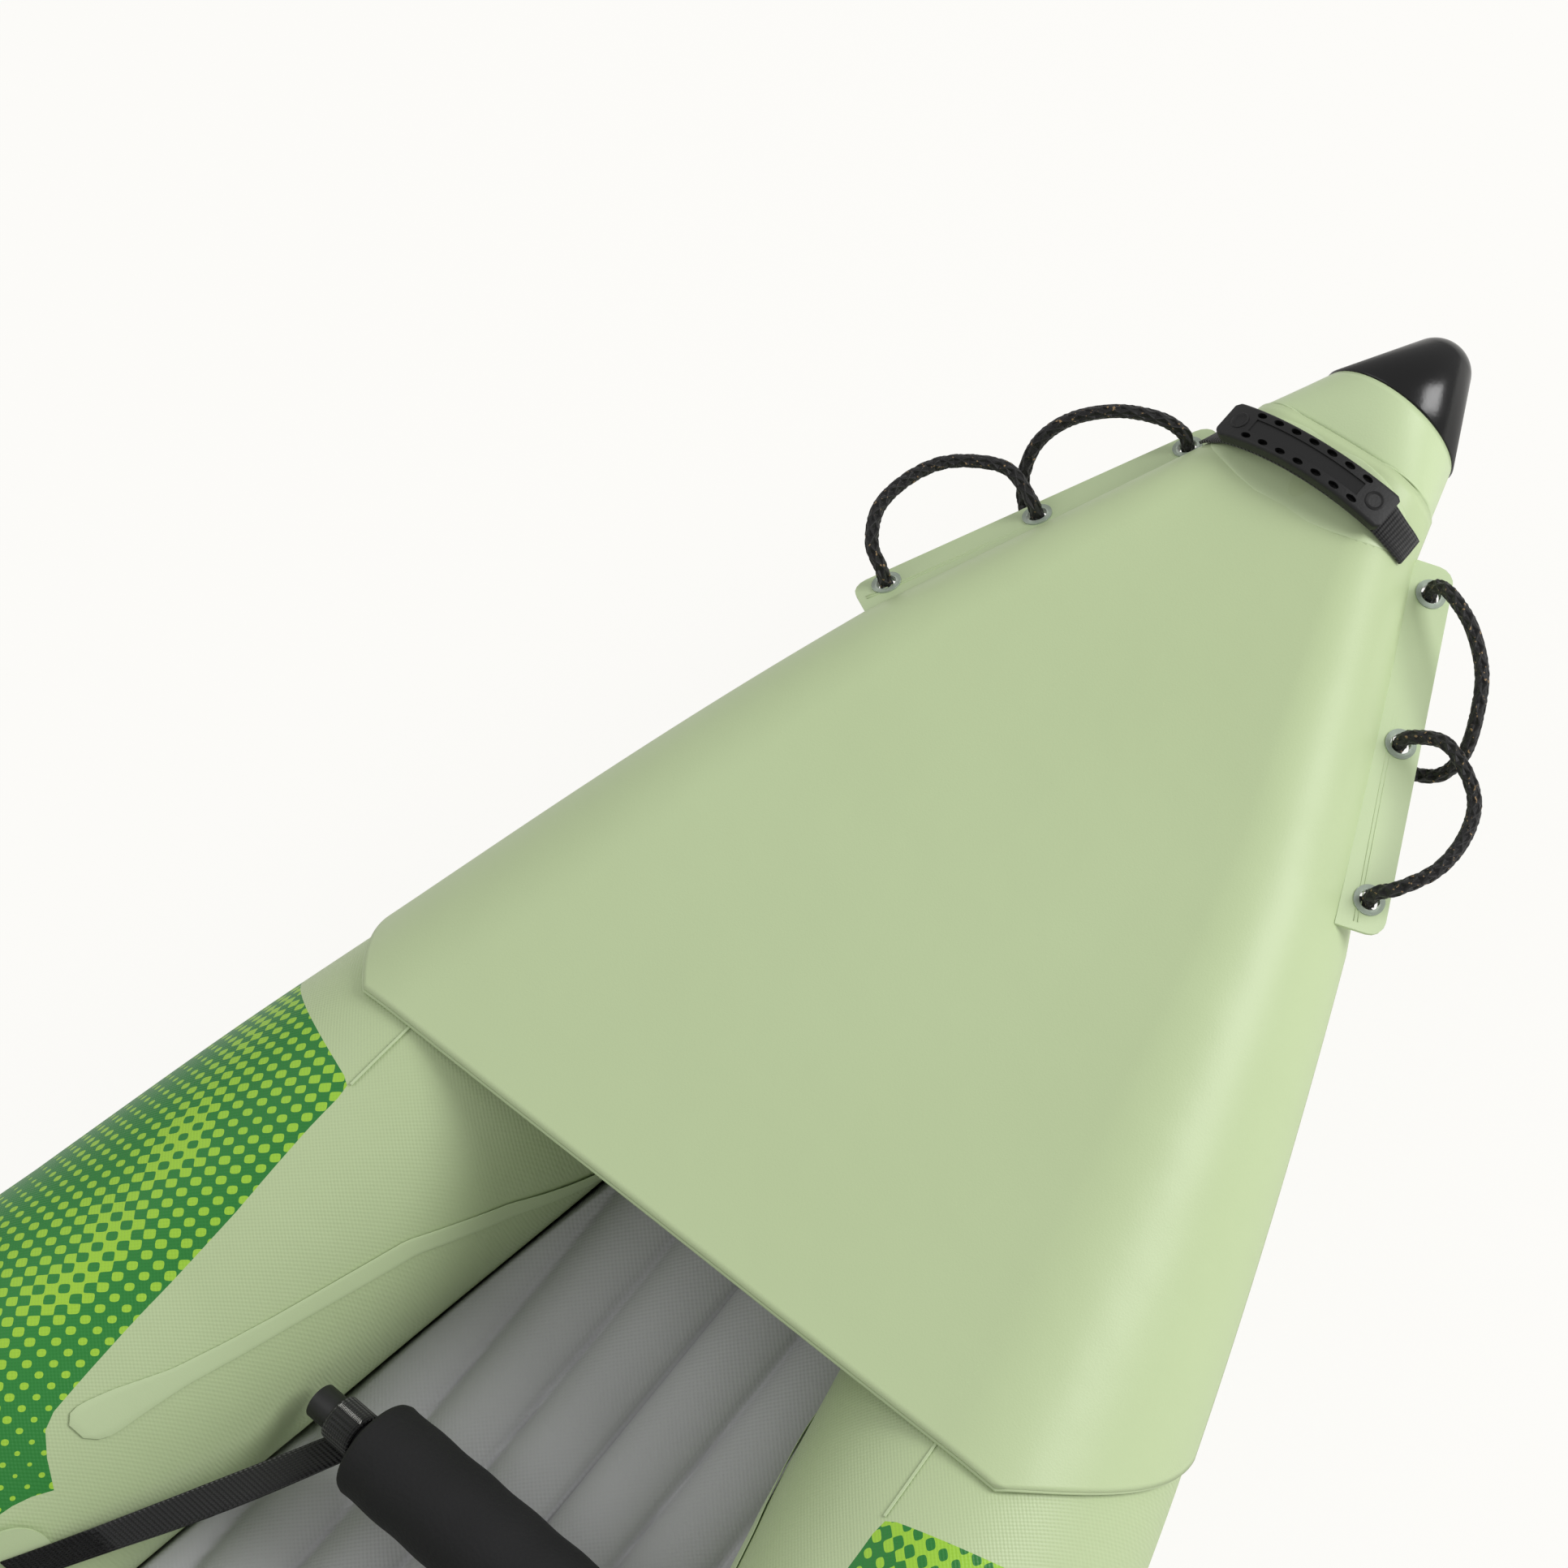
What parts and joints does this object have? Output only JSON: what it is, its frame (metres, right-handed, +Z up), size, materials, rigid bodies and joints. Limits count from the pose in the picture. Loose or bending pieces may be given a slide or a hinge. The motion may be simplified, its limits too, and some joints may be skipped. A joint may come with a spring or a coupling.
{
  "type": "inflatable kayak",
  "caption": "Open-cockpit inflatable kayak with two side tubes, lobed floor, spray decks, moulded nose cones, rope loops, carry handles, roller footrest and a reclining seat.",
  "frame": {"origin": "middle of the hull on the surface it rests on", "axes": "+Y towards the bow, +X to starboard, +Z up"},
  "size_m": [0.8292, 3.11, 0.5136],
  "materials": {
    "green_pvc": "pale sage green PVC tarpaulin, satin",
    "shade_pvc": "darker sage PVC tarpaulin",
    "grey_pvc": "grey PVC",
    "black_plastic": "moulded satin black plastic",
    "clear_plastic": "clear moulded plastic",
    "rope": "black braided polyester with tan flecks",
    "black_rubber": "grained black rubber",
    "black_webbing": "ribbed black webbing",
    "eva_foam": "black EVA foam",
    "seat_fabric": "grey-black woven seat cover",
    "grey_plastic": "moulded grey plastic",
    "steel": "stainless wire"
  },
  "bodies": {
    "hull": {"port_side_tube": "green_pvc", "starboard_side_tube": "green_pvc", "floor_chamber": "grey_pvc", "hull_bottom": "shade_pvc", "bow_deck": "green_pvc", "stern_deck": "green_pvc", "bow_sleeve": "green_pvc", "stern_sleeve": "green_pvc", "bow_nose_cone": "black_plastic", "stern_nose_cone": "black_plastic", "bow_port_flap": "green_pvc", "bow_starboard_flap": "green_pvc", "stern_port_flap": "green_pvc", "stern_starboard_flap": "green_pvc", "bow_eyelets": "clear_plastic", "stern_eyelets": "clear_plastic", "bow_port_rope": "rope", "bow_starboard_rope": "rope", "stern_port_rope": "rope", "stern_starboard_rope": "rope", "bow_rope_knots": "rope", "stern_rope_knots": "rope", "bow_handle_grip": "black_rubber", "stern_handle_grip": "black_rubber", "bow_handle_webbing": "black_webbing", "stern_handle_webbing": "black_webbing", "bow_handle_patch": "green_pvc", "stern_handle_patch": "green_pvc", "footrest_rod": "grey_plastic", "footrest_port_strap": "black_webbing", "footrest_starboard_strap": "black_webbing", "footrest_port_anchor": "green_pvc", "footrest_starboard_anchor": "green_pvc", "seat_cushion": "seat_fabric", "seat_hinge_rod": "grey_plastic", "seat_hinge_loops": "black_webbing", "seat_port_anchor": "green_pvc", "seat_starboard_anchor": "green_pvc", "rear_port_anchor": "green_pvc", "rear_starboard_anchor": "green_pvc", "port_valve_body": "grey_plastic", "starboard_valve_body": "grey_plastic", "drain_socket": "grey_plastic", "fin_base": "black_plastic"},
    "footrest_roller": {"footrest_foam": "eva_foam"},
    "backrest": {"seat_backrest": "seat_fabric"},
    "drain_plug": {"drain_plug": "black_plastic"},
    "seat_port_ring": {"seat_port_ring": "steel"},
    "seat_starboard_ring": {"seat_starboard_ring": "steel"},
    "rear_port_ring": {"rear_port_ring": "steel"},
    "rear_starboard_ring": {"rear_starboard_ring": "steel"},
    "port_valve_stem": {"port_valve_stem": "black_plastic"},
    "starboard_valve_stem": {"starboard_valve_stem": "black_plastic"},
    "port_valve_cap": {"port_valve_cap": "black_plastic"},
    "starboard_valve_cap": {"starboard_valve_cap": "black_plastic"}
  },
  "joints": [
    {"name": "footrest_roll", "type": "hinge", "parent": "hull", "child": "footrest_roller", "pos_m": [0, 0.73, 0.116], "axis": [1, 0, 0], "continuous": true},
    {"name": "backrest_recline", "type": "hinge", "parent": "hull", "child": "backrest", "pos_m": [0, -0.345, 0.11829], "axis": [1, 0, 0], "range_deg": [-90, 8]},
    {"name": "seat_port_ring_hinge", "type": "hinge", "parent": "hull", "child": "seat_port_ring", "pos_m": [-0.22554, 0.11989, 0.2013], "axis": [0.7656, -0.025, -0.6428], "range_deg": [0, 150]},
    {"name": "seat_starboard_ring_hinge", "type": "hinge", "parent": "hull", "child": "seat_starboard_ring", "pos_m": [0.22554, 0.11989, 0.2013], "axis": [0.7656, 0.025, 0.6428], "range_deg": [0, 150]},
    {"name": "rear_port_ring_hinge", "type": "hinge", "parent": "hull", "child": "rear_port_ring", "pos_m": [-0.19915, -0.46956, 0.19367], "axis": [0.7592, 0.1019, -0.6428], "range_deg": [0, 150]},
    {"name": "rear_starboard_ring_hinge", "type": "hinge", "parent": "hull", "child": "rear_starboard_ring", "pos_m": [0.19915, -0.46956, 0.19367], "axis": [0.7592, -0.1019, 0.6428], "range_deg": [0, 150]},
    {"name": "port_cap_hinge", "type": "hinge", "parent": "hull", "child": "port_valve_cap", "pos_m": [-0.24494, -0.663, 0.22345], "axis": [1, 0, 0], "range_deg": [0, 150]},
    {"name": "port_stem_slide", "type": "slide", "parent": "hull", "child": "port_valve_stem", "axis": [0, 0, -1], "range_m": [0, 0.0045], "stiffness_N_per_m": 200},
    {"name": "starboard_cap_hinge", "type": "hinge", "parent": "hull", "child": "starboard_valve_cap", "pos_m": [0.24494, -0.663, 0.22345], "axis": [1, 0, 0], "range_deg": [0, 150]},
    {"name": "starboard_stem_slide", "type": "slide", "parent": "hull", "child": "starboard_valve_stem", "axis": [0, 0, -1], "range_m": [0, 0.0045], "stiffness_N_per_m": 200},
    {"name": "drain_plug_pull", "type": "slide", "parent": "hull", "child": "drain_plug", "axis": [0, 0.2367, 0.9716], "range_m": [0, 0.02]}
  ]
}
